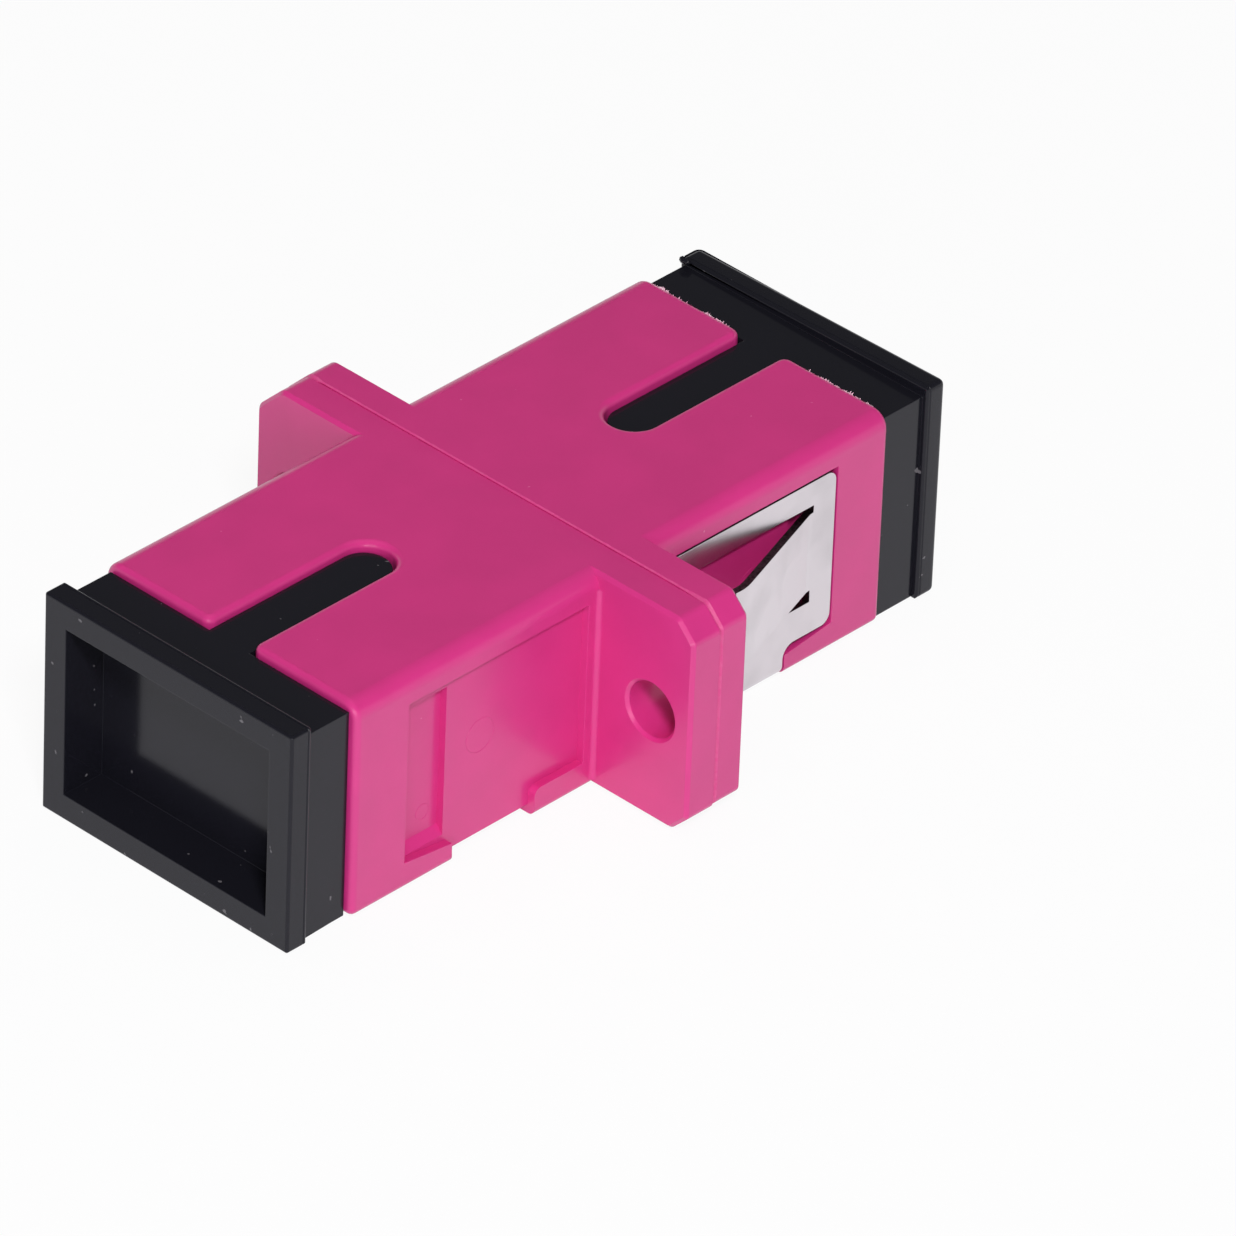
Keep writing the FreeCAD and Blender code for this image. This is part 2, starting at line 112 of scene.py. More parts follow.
# how far the flash stands out along each tab's rim, as (place across, height) in mm
FLASH_COURSES = (
    ((-5.55, 0.05), (-5.2, 0.08), (-4.7, 0.05), (-4.3, 0.015), (-3.2, 0.01), (-2.9, 0.05),
     (-2.2, 0.06), (-1.9, 0.015), (-1.62, 0.05)),
    ((2.3, 0.01), (2.9, 0.05), (3.6, 0.055), (4.0, 0.03), (4.4, 0.06), (5.0, 0.02), (5.55, 0.05)),
)

# The mould pins in each side recess, as (distance from the weld, height, radius) in mm
PIN_MARKS = ((6.98, 0.06, 0.70), (9.51, -2.20, 0.32))
PIN_RIDGE = 0.012 * MM        # radius of the fine ridge round a pin
OUTSIDE = 20 * MM             # well beyond the part's sides, from where the recess floors are found

# The dust caps' lips
LIP_THICKNESS = 1.0 * MM
LIP_CUTS = (1.0, 0.6, 0.25)   # where the lip is cut for its rounding, as shares of the radius
FRONT_WEAR = 0.45             # the front lip's rounding, as a share of the rear one's
GROOVE_CUTS = (-0.04, 0.04, 0.0)   # the parting groove's two sides and its middle, in mm
GROOVE_DEPTH = 0.035 * MM
GROOVE_BAND = 0.1 * MM        # the groove moves only what lies this near to the lip's outside
NUB_PLACE = (0.32, 0.98, 0.17)     # the gate nub's middle, in mm in from the rear lip's corner
NUB_HALF = (0.3, 0.3, 0.16)        # half its size, in mm
SKEW_DEPTH = 1.05 * MM        # stretch of the rear cap, lip and nub, that is skewed
SKEW_BAND = 0.25 * MM         # how far down from the lip's top the skew reaches

# The clip's faces
WEB_BAND = 0.4 * MM           # the web lies within this of the clip's lowest point
LEVEL = 0.9                   # a face with more than this of its normal on Z lies level
SHEARED = 0.2                 # a sheared face has less than this of its normal on X

# The stage
FLOOR_SEEN = 0.92             # share of plain white in what the camera sees of the floor
FLOOR_MIRRORED = 0.91         # the same for reflections
SWEEP_FADE = (0.17, 0.42)     # sines of the elevations between which the white sweep fades out
CEILING = 0.12                # strength of the world above the sweep, and of its light on the part
# name, place, size in metres, watts, tint, and whether it shows in reflections
LAMPS = (
    ("key_softbox", (0.25, -0.21, 0.325), (0.07, 0.07), 1.36, (0.99, 0.97, 1.0), False),
    ("low_softbox", (0.24, -0.36, 0.11), (0.30, 0.16), 0.50, (0.98, 0.98, 1.0), True),
    ("overhead_fill", (0.0, 0.0, 0.45), (0.5, 0.5), 0.53, (1.0, 0.93, 0.74), False),
)
# The camera, as fitted to the photograph
CAMERA_ANGLES = (42.80, 34.32, 2.37)    # azimuth, elevation and roll in degrees
CAMERA_DISTANCE = 0.5152
CAMERA_ACROSS = 4.3345 * MM
CAMERA_UP = -0.968 * MM


# --- Colours and nodes ---------------------------------------------------------------------

def colour(code):
    """An sRGB hex colour as the linear RGBA that shaders take."""
    channels = [int(code[i:i + 2], 16) / 255 for i in (1, 3, 5)]
    linear = [c / 12.92 if c <= 0.04045 else ((c + 0.055) / 1.055) ** 2.4 for c in channels]
    return tuple(linear) + (1.0,)


def add(tree, kind, inputs=None, **settings):
    """Adds one shader node. A value in `inputs` is a number or colour, or the socket to link from."""
    made = tree.nodes.new("ShaderNode" + kind)
    for name, value in settings.items():
        setattr(made, name, value)
    for name, value in (inputs or {}).items():
        socket = made.inputs[name]
        if isinstance(value, bpy.types.NodeSocket):
            tree.links.new(value, socket)
        else:
            socket.default_value = value
    return made


def new_material(name):
    """An empty node material and its tree."""
    material = bpy.data.materials.new(name)
    material.use_nodes = True
    material.node_tree.nodes.clear()
    return material, material.node_tree


def finish_material(tree, shader):
    """Makes the shader the material's surface."""
    add(tree, "OutputMaterial", {"Surface": shader.outputs[0]})


def ramp(tree, factor, stops):
    """A colour ramp from `factor` through (place, colour) stops."""
    made = add(tree, "ValToRGB", {"Fac": factor})
    elements = made.color_ramp.elements
    while len(elements) < len(stops):
        elements.new(0.5)
    for element, (place, shade) in zip(elements, stops):
        element.position = place
        element.color = shade
    return made.outputs["Color"]


def grain(tree, per_mm, detail=2.0, stretch=(1.0, 1.0, 1.0)):
    """Noise with `per_mm` features to a millimetre of the real surface."""
    place = add(tree, "TexCoord").outputs["Object"]
    scaled = add(tree, "Mapping", {"Vector": place, "Scale": stretch})
    return add(tree, "TexNoise", {
        "Vector": scaled.outputs["Vector"], "Scale": per_mm / MM, "Detail": detail})


# --- Settings ------------------------------------------------------------------------------

class HousingSettings(bpy.types.PropertyGroup):
    shade: FloatVectorProperty(
        name="Plastic", description="Colour of the moulded housing and the inner holders",
        subtype="COLOR", size=3, min=0, max=1, default=colour("#D43384")[:3])
    edge: FloatProperty(
        name="Edge easing", description="Width of the worn edge on the moulding's sharp corners",
        subtype="DISTANCE", unit="LENGTH", min=0, default=0.045 * MM)
    flange_edge: FloatProperty(
        name="Flange easing", description="Width of the rounding on the flange's cut corners",
        subtype="DISTANCE", unit="LENGTH", min=0, default=0.12 * MM)
    weld_edge: FloatProperty(
        name="Weld chamfer", description="Width of the chamfer round the rear half's weld face",
        subtype="DISTANCE", unit="LENGTH", min=0, default=0.12 * MM)
    root: FloatProperty(
        name="Flange root", description="Width of the hollow between the housing's sides and the flange",
        subtype="DISTANCE", unit="LENGTH", min=0, default=0.3 * MM)


class ClipSettings(bpy.types.PropertyGroup):
    shade: FloatVectorProperty(
        name="Steel", description="Colour of the rolled spring steel",
        subtype="COLOR", size=3, min=0, max=1, default=colour("#DDD7D9")[:3])
    edge: FloatProperty(
        name="Edge easing", description="Width of the rolled-over corner along the sheared edges",
        subtype="DISTANCE", unit="LENGTH", min=0, default=0.03 * MM)


class CapSettings(bpy.types.PropertyGroup):
    # the faint blue in this near-black paints the bluish reflections that the caps show of the studio
    shade: FloatVectorProperty(
        name="Cap plastic", description="Colour of the dust caps",
        subtype="COLOR", size=3, min=0, max=1, default=colour("#191920")[:3])
    edge: FloatProperty(
        name="Edge easing", description="Width of the soft edge on the cap's corners",
        subtype="DISTANCE", unit="LENGTH", min=0, default=0.05 * MM)
    lip_skew: FloatProperty(
        name="Lip skew",
        description="How much lower the rear cap's lip ends at one side than at the other",
        subtype="DISTANCE", unit="LENGTH", min=0, default=0.2 * MM)
    lip_round: FloatProperty(
        name="Lip rounding", description="Radius of the lip's outer corners and edges",
        subtype="DISTANCE", unit="LENGTH", min=0, default=0.26 * MM)
    parting: FloatProperty(
        name="Parting line",
        description="Place of the parting line behind the lip's face, as a share of its width",
        subtype="FACTOR", unit="NONE", min=0, max=0.1, default=0.066)


class StageSettings(bpy.types.PropertyGroup):
    lens: FloatProperty(
        name="Lens", description="Focal length of the camera",
        subtype="DISTANCE_CAMERA", unit="CAMERA", min=1, default=417.4)
    level: FloatProperty(
        name="Light level", description="Share of the plain studio level",
        subtype="FACTOR", unit="NONE", min=0, default=1.0)


# --- Mesh helpers --------------------------------------------------------------------------

def cut_across(surface, axis, place):
    """Cuts the surface where the coordinate `axis` equals `place`, and gives the new edges."""
    point, normal = Vector(), Vector()
    point[axis], normal[axis] = place, 1.0
    whole = surface.verts[:] + surface.edges[:] + surface.faces[:]
    made = bmesh.ops.bisect_plane(surface, geom=whole, dist=JOINED, plane_co=point, plane_no=normal)
    return [item for item in made["geom_cut"] if isinstance(item, bmesh.types.BMEdge)]


def welded_copy(node):
    """The CAD node's surface as one joined mesh, its flat faces whole but never closed into rings."""
    surface = bmesh.new()
    surface.from_mesh(frame["nodes"][node].data)
    bmesh.ops.remove_doubles(surface, verts=surface.verts, dist=JOINED)
    for axis, place in ((0, 0.0), (0, HOLE_X), (0, -HOLE_X), (2, 0.0)):
        for edge in cut_across(surface, axis, place):
            edge.seam = True
    bmesh.ops.dissolve_limit(
        surface, angle_limit=FLAT, use_dissolve_boundaries=False, delimit={"SEAM"},
        verts=surface.verts, edges=surface.edges)
    return surface


def bevel(surface, edges, width, steps):
    """Rounds the edges, and pulls any corner that shoots off back onto the surface and into its box."""
    shell = BVHTree.FromBMesh(surface)
    low = [min(vert.co[i] for vert in surface.verts) for i in range(3)]
    high = [max(vert.co[i] for vert in surface.verts) for i in range(3)]
    bmesh.ops.bevel(
        surface, geom=edges, offset=width, offset_type="WIDTH", segments=steps, profile=0.5,
        affect="EDGES", clamp_overlap=False, material=-1)
    for vert in surface.verts:
        nearest, _, _, gap = shell.find_nearest(vert.co)
        if gap > SHOT_OFF * width:
            vert.co = nearest
        vert.co = [min(max(vert.co[i], low[i]), high[i]) for i in range(3)]


def room_beside(edge):
    """How close any other corner of the two faces lies to the edge, square to it."""
    start, end = (vert.co for vert in edge.verts)
    length = (end - start).length
    along = (end - start) / length
    closest = math.inf
    for face in edge.link_faces:
        for vert in face.verts:
            offset = vert.co - start
            passed = offset.dot(along)
            away = (offset - passed * along).length
            if away > SAME and -0.5 * away < passed < length + 0.5 * away:
                closest = min(closest, away)
    return closest


def sharp_edges(surface):
    """Corners that the moulding or the tool would leave slightly soft."""
    return [edge for edge in surface.edges
            if len(edge.link_faces) == 2 and edge.calc_face_angle(0) > SHARP]


def ease_edges(surface, width, edges):
    """Rounds those of the edges that have the room for it."""
    fit = [edge for edge in edges
           if edge.calc_length() > width and room_beside(edge) > ROOM * width]
    bevel(surface, fit, width, 2)


def middle(edge):
    """The point halfway along an edge."""
    return (edge.verts[0].co + edge.verts[1].co) / 2


def ring_ridge(surface, centre, radius, ridge):
    """A fine raised ring on a face that looks along X, as the rim of a mould pin leaves."""
    around, across = 40, 6
    loops = []
    for i in range(around):
        angle = math.tau * i / around
        outward = Vector((0, math.cos(angle), math.sin(angle)))
        loops.append([
            surface.verts.new(
                centre + outward * (radius + ridge * math.cos(math.tau * j / across))
                + Vector((ridge * math.sin(math.tau * j / across), 0, 0)))
            for j in range(across)])
    for i in range(around):
        near, far = loops[i], loops[(i + 1) % around]
        for j in range(across):
            k = (j + 1) % across
            surface.faces.new((near[j], far[j], far[k], near[k]))


def even_normals(mesh):
    """Smooth normals, in which no face bends towards one that turns away by more than REACH."""
    mesh.shade_smooth()
    around = [[] for _ in mesh.vertices]
    for face in mesh.polygons:
        for index in face.vertices:
            around[index].append((face.normal.copy(), face.area))
    limit = math.cos(REACH)
    normals = []
    for face in mesh.polygons:
        own = face.normal.copy()
        for index in face.vertices:
            total = Vector()
            for normal, area in around[index]:
                if normal.dot(own) > limit:
                    total += normal * area
            normals.append(total.normalized() if total.length > 0 else own)
    mesh.normals_split_custom_set(normals)


def placed(name, surface, body, materials, stands_for=None):
    """Makes the finished surface an object that rides on a body of the frame."""
    mesh = bpy.data.meshes.new(name)
    surface.to_mesh(mesh)
    surface.free()
    even_normals(mesh)
    piece = bpy.data.objects.new(name, mesh)
    bpy.context.scene.collection.objects.link(piece)
    for material in materials:
        mesh.materials.append(material)
    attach(piece, body)
    if stands_for:
        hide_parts(stands_for)


# --- Materials -----------------------------------------------------------------------------

def weld_rim_plastic_with_painted_highlight(shade):
    """The rim of the weld: the housing's plastic gone paler and duller where it was melted, its pale tone
    also painting the highlight that the chamfer catches.
    """
    material, tree = new_material("remelted_magenta_weld_rim_painted_highlight")
    beads = grain(tree, 6.0, 2.0)
    # these paler tones are partly the remelted plastic and partly a painted highlight along the chamfer
    pale_with_highlight = tuple(c + 0.03 * (1 - c) for c in shade) + (1.0,)
    paler_with_highlight = tuple(c + 0.06 * (1 - c) for c in shade) + (1.0,)
    # the rim comes out uneven along its length
    tone = ramp(tree, beads.outputs["Fac"], [(0.4, pale_with_highlight), (0.65, paler_with_highlight)])
    shader = add(tree, "BsdfPrincipled", {"Base Color": tone, "Roughness": 0.35})
    finish_material(tree, shader)
    return material


def housing_plastic(shade):
    """Moulded polyester in magenta: a semi-gloss skin with fine tool grain and a few dust grains."""
    material, tree = new_material("moulded_magenta_polyester")
    cloudy = grain(tree, 0.35, 3.0)
    deep = tuple(c * 0.97 for c in shade) + (1.0,)
    light = tuple(min(1.0, c * 1.03) for c in shade) + (1.0,)
    # slow drift of the pigment, as in any coloured moulding
    body = ramp(tree, cloudy.outputs["Fac"], [(0.35, deep), (0.65, light)])
    # rare pale dust grains
    dust = grain(tree, 2.2, 1.0)
    specks = ramp(tree, dust.outputs["Fac"], [(0.80, (0, 0, 0, 1)), (0.83, (0.6, 0.6, 0.6, 1))])
    tint = add(tree, "MixRGB", {"Fac": specks, "Color1": body, "Color2": colour("#EE9CC0")})
    # tool grain: breaks the highlights up without showing as a texture
    fine = grain(tree, 11.0, 3.0)
    polish = add(tree, "MapRange", {"Value": fine.outputs["Fac"], "To Min": 0.36, "To Max": 0.50})
    bump = add(tree, "Bump", {"Height": fine.outputs["Fac"], "Strength": 0.10, "Distance": 0.008 * MM})
    shader = add(tree, "BsdfPrincipled", {
        "Base Color": tint.outputs["Color"], "Roughness": polish.outputs["Result"],
        "Normal": bump.outputs["Normal"], "Specular IOR Level": 0.38, "Coat Weight": 0.5,
        "Coat Roughness": 0.21})
    finish_material(tree, shader)
    return material


def cap_plastic(shade):
    """Soft black polyethylene: a polished skin that mirrors large light areas, with grey dust grains."""
    material, tree = new_material("moulded_black_polyethylene")
    dust = grain(tree, 2.6, 1.0)
    specks = ramp(tree, dust.outputs["Fac"],
                  [(0.775, tuple(shade) + (1.0,)), (0.80, colour("#6A686C"))])
    fine = grain(tree, 7.0, 4.0)
    polish = add(tree, "MapRange", {"Value": fine.outputs["Fac"], "To Min": 0.11, "To Max": 0.17})
    bump = add(tree, "Bump", {"Height": fine.outputs["Fac"], "Strength": 0.05, "Distance": 0.01 * MM})
    shader = add(tree, "BsdfPrincipled", {
        "Base Color": specks, "Roughness": polish.outputs["Result"], "Normal": bump.outputs["Normal"],
        "Specular IOR Level": 0.28})
    finish_material(tree, shader)
    return material


def clip_steel(shade):
    """Rolled spring steel: smooth and bright, with barely visible rolling lines along the strip."""
    material, tree = new_material("rolled_spring_steel")
    lines = grain(tree, 5.0, 2.0, stretch=(1.0, 0.03, 1.0))
    polish = add(tree, "MapRange", {"Value": lines.outputs["Fac"], "To Min": 0.24, "To Max": 0.27})
    stains = grain(tree, 0.5, 2.0)
    deep = tuple(c * 0.9 for c in shade) + (1.0,)
    tone = ramp(tree, stains.outputs["Fac"], [(0.35, deep), (0.6, tuple(shade) + (1.0,))])
    shader = add(tree, "BsdfPrincipled", {
        "Base Color": tone, "Metallic": 1.0, "Roughness": polish.outputs["Result"]})
    finish_material(tree, shader)
    return material


def sheared_steel():
    """The clip's cut edges: darker and rougher, where the press tool sheared the strip."""
    material, tree = new_material("sheared_spring_steel_edge")
    tears = grain(tree, 10.0, 3.0)
    tone = ramp(tree, tears.outputs["Fac"], [(0.35, colour("#463A3E")), (0.7, colour("#7A6C72"))])
    bump = add(tree, "Bump", {"Height": tears.outputs["Fac"], "Strength": 0.3, "Distance": 0.01 * MM})
    shader = add(tree, "BsdfPrincipled", {
        "Base Color": tone, "Metallic": 1.0, "Roughness": 0.5, "Normal": bump.outputs["Normal"]})
    finish_material(tree, shader)
    return material


def sleeve_ceramic():
    """Polished zirconia of the split sleeve: dense, warm white, very smooth."""
    material, tree = new_material("polished_zirconia")
    clouds = grain(tree, 1.2, 2.0)
    tone = ramp(tree, clouds.outputs["Fac"], [(0.3, colour("#E6E2D8")), (0.7, colour("#F2EFE8"))])
    shader = add(tree, "BsdfPrincipled", {"Base Color": tone, "Roughness": 0.12})
    finish_material(tree, shader)
    return material


def flash_plastic():
    """Torn moulding flash: the housing's plastic stretched white where it tore."""
    material, tree = new_material("stretched_magenta_flash")
    tears = grain(tree, 12.0, 2.0)
    tone = ramp(tree, tears.outputs["Fac"], [(0.35, colour("#E7A5C6")), (0.65, colour("#F5DDE8"))])
    shader = add(tree, "BsdfPrincipled", {"Base Color": tone, "Roughness": 0.6})
    finish_material(tree, shader)
    return material


# --- Operators -----------------------------------------------------------------------------

def port_wall(surface):
    """Distance from the axis to the housing's flat sides, found just behind the port's end."""
    end = max(abs(vert.co.y) for vert in surface.verts)
    return max(abs(vert.co.x) for vert in surface.verts if abs(vert.co.y) > end - PORT_END)


def weld_rim(surface):
    """The outer edges of a half's weld face, without those of its port and screw holes."""
    rim = []
    for edge in surface.edges:
        spot = middle(edge)
        if max(abs(vert.co.y) for vert in edge.verts) > SAME or len(edge.link_faces) != 2:
            continue
        outward = max((face.normal for face in edge.link_faces), key=lambda normal: 1 - abs(normal.y))
        from_hole = math.hypot(abs(spot.x) - HOLE_X, spot.z)
        if abs(outward.y) < SQUARE and outward.dot(spot) > 0 and from_hole > HOLE_ROOM:
            rim.append(edge)
    return rim


def fade_rim(surface, width, share):
    """Leaves a share of the weld chamfer's width along the top and bottom, between the screw holes."""
    skin = max(vert.co.z for vert in surface.verts if abs(vert.co.y) < width + SAME)
    for vert in surface.verts:
        if abs(vert.co.x) > HOLE_X + BESIDE or not -SAME < vert.co.y < width + SAME:
            continue
        if abs(vert.co.y) > 0.5 * width and abs(vert.co.z) > skin - WELD_BAND:
            vert.co.y *= share
        elif abs(abs(vert.co.z) - skin + width) < WELD_BAND - 0.5 * width:
            vert.co.z = math.copysign(abs(vert.co.z) + width * (1 - share), vert.co.z)


class ADAPTER_OT_housing(bpy.types.Operator):
    """Dress the two welded housing halves in moulded magenta plastic"""
    bl_idname = "adapter.housing"
    bl_label = "Housing"

    def execute(self, context):
        settings = context.scene.adapter_housing
        plastic = housing_plastic(tuple(settings.shade))
        weld_rim_with_highlight = weld_rim_plastic_with_painted_highlight(tuple(settings.shade))
        for node in ("housing_front", "housing_rear"):
            surface = welded_copy(node)
            wall = port_wall(surface)
            share = 1.0 if node == "housing_rear" else FRONT_WELD
            # the chamfer's faces take the weld rim material, whose pale tone paints their highlight
            bmesh.ops.bevel(
                surface, geom=weld_rim(surface), offset=share * settings.weld_edge, offset_type="OFFSET",
                segments=1, profile=0.5, affect="EDGES", clamp_overlap=False, material=1)
            if node == "housing_rear":
                fade_rim(surface, settings.weld_edge, TOP_WELD)
            root, flange, rest = [], [], []
            for edge in sharp_edges(surface):
                spot = middle(edge)
                run = edge.verts[0].co - edge.verts[1].co
                out = abs(spot.x) - wall
                if out < -PORT_ROOM or abs(spot.y) < settings.weld_edge + BESIDE:
                    continue
                if not edge.is_convex and abs(run.z) > ALONG * run.length and abs(out) < BESIDE:
                    root.append(edge)
                elif out > FLANGE_FROM and abs(run.y) > ALONG * run.length:
                    flange.append(edge)
                else:
                    rest.append(edge)
            bevel(surface, root, settings.root, 4)
            ease_edges(surface, settings.flange_edge, [edge for edge in flange if edge.is_valid])
            ease_edges(surface, settings.edge, [edge for edge in rest if edge.is_valid])
            placed(node + "_skin", surface, "adapter", [plastic, weld_rim_with_highlight], node)
        return {"FINISHED"}


def frayed_fin(surface, rng, course, corner):
    """A thin torn fin along the rounded edge between the top and the port's rim."""
    outward = Vector((0, math.sin(RIM_LEAN), math.cos(RIM_LEAN)))
    across = Vector((0, outward.z, -outward.y)) * FIN_HALF
    centre = Vector((0, corner.y - RIM_ROUND, corner.z - RIM_DROP - RIM_ROUND))
    rows = []
    x, last = course[0][0], course[-1][0]
    while x < last:
        before, after = next((a, b) for a, b in zip(course, course[1:]) if a[0] <= x < b[0])
        height = before[1] + (after[1] - before[1]) * (x - before[0]) / (after[0] - before[0])
        height *= rng.uniform(*FIN_UNEVEN)
        if rng.random() < FIN_THREADS:
            height += rng.uniform(*FIN_THREAD)
        root = centre + Vector((x * MM, 0, 0)) + outward * (RIM_ROUND - FIN_SUNK * MM)
        tip = root + outward * (FIN_SUNK + height) * MM
        tip.z = min(tip.z, corner.z - FIN_BELOW_TOP)
        section = (root - across, root + across, tip + 0.5 * across, tip - 0.5 * across)
        rows.append([surface.verts.new(spot) for spot in section])
        x += rng.uniform(*FIN_STEP)
    for near, far in zip(rows, rows[1:]):
        for j in range(4):
            k = (j + 1) % 4
            surface.faces.new((near[j], near[k], far[k], far[j]))
    surface.faces.new(rows[0])
    surface.faces.new(rows[-1])


class ADAPTER_OT_flash(bpy.types.Operator):
    """Add the ragged moulding flash along the rear port's rim"""
    bl_idname = "adapter.flash"
    bl_label = "Moulding flash"

    def execute(self, context):
        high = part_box("housing_rear")[1]
        rng = random.Random(FLASH_SEED)
        surface = bmesh.new()
        for course in FLASH_COURSES:
            frayed_fin(surface, rng, course, high)
        bmesh.ops.recalc_face_normals(surface, faces=surface.faces)
        placed("rear_rim_flash", surface, "adapter", [flash_plastic()])
        return {"FINISHED"}


class ADAPTER_OT_marks(bpy.types.Operator):
    """Add the fine rings that the mould's pins leave on the floors of the side recesses"""
    bl_idname = "adapter.marks"
    bl_label = "Mould marks"

    def execute(self, context):
        surface = bmesh.new()
        for half in ("housing_front", "housing_rear"):
            walls = bmesh.new()
            walls.from_mesh(frame["nodes"][half].data)
            shell = BVHTree.FromBMesh(walls)
            walls.free()
            toward = -1 if half == "housing_front" else 1
            for side in (-1, 1):
                for y, z, radius in PIN_MARKS:
                    start = Vector((side * OUTSIDE, toward * y * MM, z * MM))
                    spot, _, _, _ = shell.ray_cast(start, Vector((-side, 0, 0)))
                    ring_ridge(surface, spot, radius * MM, PIN_RIDGE)
        plastic = housing_plastic(tuple(context.scene.adapter_housing.shade))
        bmesh.ops.recalc_face_normals(surface, faces=surface.faces)
        placed("side_core_pin_marks", surface, "adapter", [plastic])
        return {"FINISHED"}


class ADAPTER_OT_clip(bpy.types.Operator):
    """Dress the folded panel clip in bright steel with darker sheared edges"""
    bl_idname = "adapter.clip"
    bl_label = "Panel clip"

    def execute(self, context):
        settings = context.scene.adapter_clip
        surface = welded_copy("panel_clip")
        web_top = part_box("panel_clip")[0].z + WEB_BAND
        for face in surface.faces:
            centre, normal = face.calc_center_median(), face.normal
            on_web = centre.z < web_top and abs(normal.z) > LEVEL
            face.material_index = 1 if abs(normal.x) < SHEARED and not on_web else 0
        ease_edges(surface, settings.edge, sharp_edges(surface))
        placed("panel_clip_sheet", surface, "adapter",
               [clip_steel(tuple(settings.shade)), sheared_steel()], "panel_clip")
        return {"FINISHED"}


def round_lip(surface, low, high, radius):
    """Rounds the outside of a cap's lip: what stands in the corners of its box moves in to the radius."""
    outward = 1 if high.y > 0 else -1
    lip_from = abs(high.y if outward > 0 else low.y) - LIP_THICKNESS
    half = Vector((high.x, lip_from + LIP_THICKNESS, high.z))
    for step in LIP_CUTS:
        cut_across(surface, 1, outward * (half.y - step * radius))
        for axis in (0, 2):
            cut_across(surface, axis, half[axis] - step * radius)
            cut_across(surface, axis, step * radius - half[axis])
    for vert in surface.verts:
        if abs(vert.co.y) < lip_from - SAME:
            continue
        past = [max(0.0, abs(vert.co[axis]) - half[axis] + radius) for axis in range(3)]
        length = math.hypot(*past)
        if length > radius:
            for axis in range(3):
                if past[axis] > 0:
                    kept = half[axis] - radius + past[axis] * radius / length
                    vert.co[axis] = math.copysign(kept, vert.co[axis])


def part_lip(surface, low, high, settings):
    """Cuts the fine parting groove round the outside of a cap's lip."""
    outward = 1 if high.y > 0 else -1
    face_y = high.y if outward > 0 else low.y
    line_y = face_y - outward * settings.parting * (high.x - low.x)
    for shift in GROOVE_CUTS:
        cut_across(surface, 1, line_y + shift * MM)
    for vert in surface.verts:
        if abs(vert.co.y - line_y) < SAME:
            for axis in (0, 2):
                if abs(vert.co[axis]) > high[axis] - GROOVE_BAND:
                    vert.co[axis] -= math.copysign(GROOVE_DEPTH, vert.co[axis])


def gate_nub(surface, low, high):
    """The nub that the mould's gate leaves on the lip, behind its upper corner."""
    made = bmesh.ops.create_icosphere(surface, subdivisions=2, radius=1.0)
    for vert in made["verts"]:
        x, y, z = (half * value for half, value in zip(NUB_HALF, vert.co))
        vert.co = Vector((
            low.x + (NUB_PLACE[0] + x) * MM, high.y - (NUB_PLACE[1] + y) * MM,
            high.z - (NUB_PLACE[2] - z) * MM))


def skew_lip(surface, low, high, drop):
    """Lowers the lip's top towards one side."""
    for vert in surface.verts:
        if vert.co.y > high.y - SKEW_DEPTH and vert.co.z > high.z - SKEW_BAND:
            vert.co.z -= drop * (high.x - vert.co.x) / (high.x - low.x)


class ADAPTER_OT_caps(bpy.types.Operator):
    """Dress the two dust caps in polished black plastic, with worn and parted lips"""
    bl_idname = "adapter.caps"
    bl_label = "Dust caps"

    def execute(self, context):
        settings = context.scene.adapter_caps
        plastic = cap_plastic(tuple(settings.shade))
        for node, body in (("dust_cap_front", "front_cap"), ("dust_cap_rear", "rear_cap")):
            surface = welded_copy(node)
            ease_edges(surface, settings.edge, sharp_edges(surface))
            low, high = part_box(node)
            worn = 1.0 if node == "dust_cap_rear" else FRONT_WEAR
            round_lip(surface, low, high, worn * settings.lip_round)
            part_lip(surface, low, high, settings)
            if node == "dust_cap_rear":
                gate_nub(surface, low, high)
                skew_lip(surface, low, high, settings.lip_skew)
            placed(node + "_moulding", surface, body, [plastic], node)
        return {"FINISHED"}


class ADAPTER_OT_inner(bpy.types.Operator):
    """Give the sleeve holders and the split sleeve their materials"""
    bl_idname = "adapter.inner"
    bl_label = "Inner pieces"

    def execute(self, context):
        plastic = housing_plastic(tuple(context.scene.adapter_housing.shade))
        for node in ("sleeve_holder_front", "sleeve_holder_rear"):
            frame["nodes"][node].data.materials.clear()
            frame["nodes"][node].data.materials.append(plastic)
        sleeve = frame["nodes"]["alignment_sleeve"].data
        sleeve.materials.clear()
        sleeve.materials.append(sleeve_ceramic())
        return {"FINISHED"}


def area_light(name, place, size, power, tint, mirrored):
    """A softbox that looks at the part. `mirrored` says whether glossy surfaces show it."""
    data = bpy.data.lights.new(name, "AREA")
    data.shape = "RECTANGLE"
    data.size, data.size_y = size
    data.energy = power
    data.color = tint
    lamp = bpy.data.objects.new(name, data)
    lamp.location = place
    lamp.rotation_euler = (Vector((0, 0, 0)) - Vector(place)).to_track_quat("-Z", "Y").to_euler()
    lamp.visible_glossy = mirrored
    bpy.context.scene.collection.objects.link(lamp)


def background_share(tree, seen, mirrored):
    """Share of plain white: `seen` for camera rays, `mirrored` for glossy and transmission rays."""
    rays = add(tree, "LightPath")
    camera = add(tree, "Math", {0: rays.outputs["Is Camera Ray"], 1: seen}, operation="MULTIPLY")
    either = add(tree, "Math", {0: rays.outputs["Is Glossy Ray"], 1: rays.outputs["Is Transmission Ray"]},
                 operation="MAXIMUM")
    other = add(tree, "Math", {0: either.outputs[0], 1: mirrored}, operation="MULTIPLY")
    share = add(tree, "Math", {0: camera.outputs[0], 1: other.outputs[0]}, operation="MAXIMUM")
    return rays, share.outputs[0]


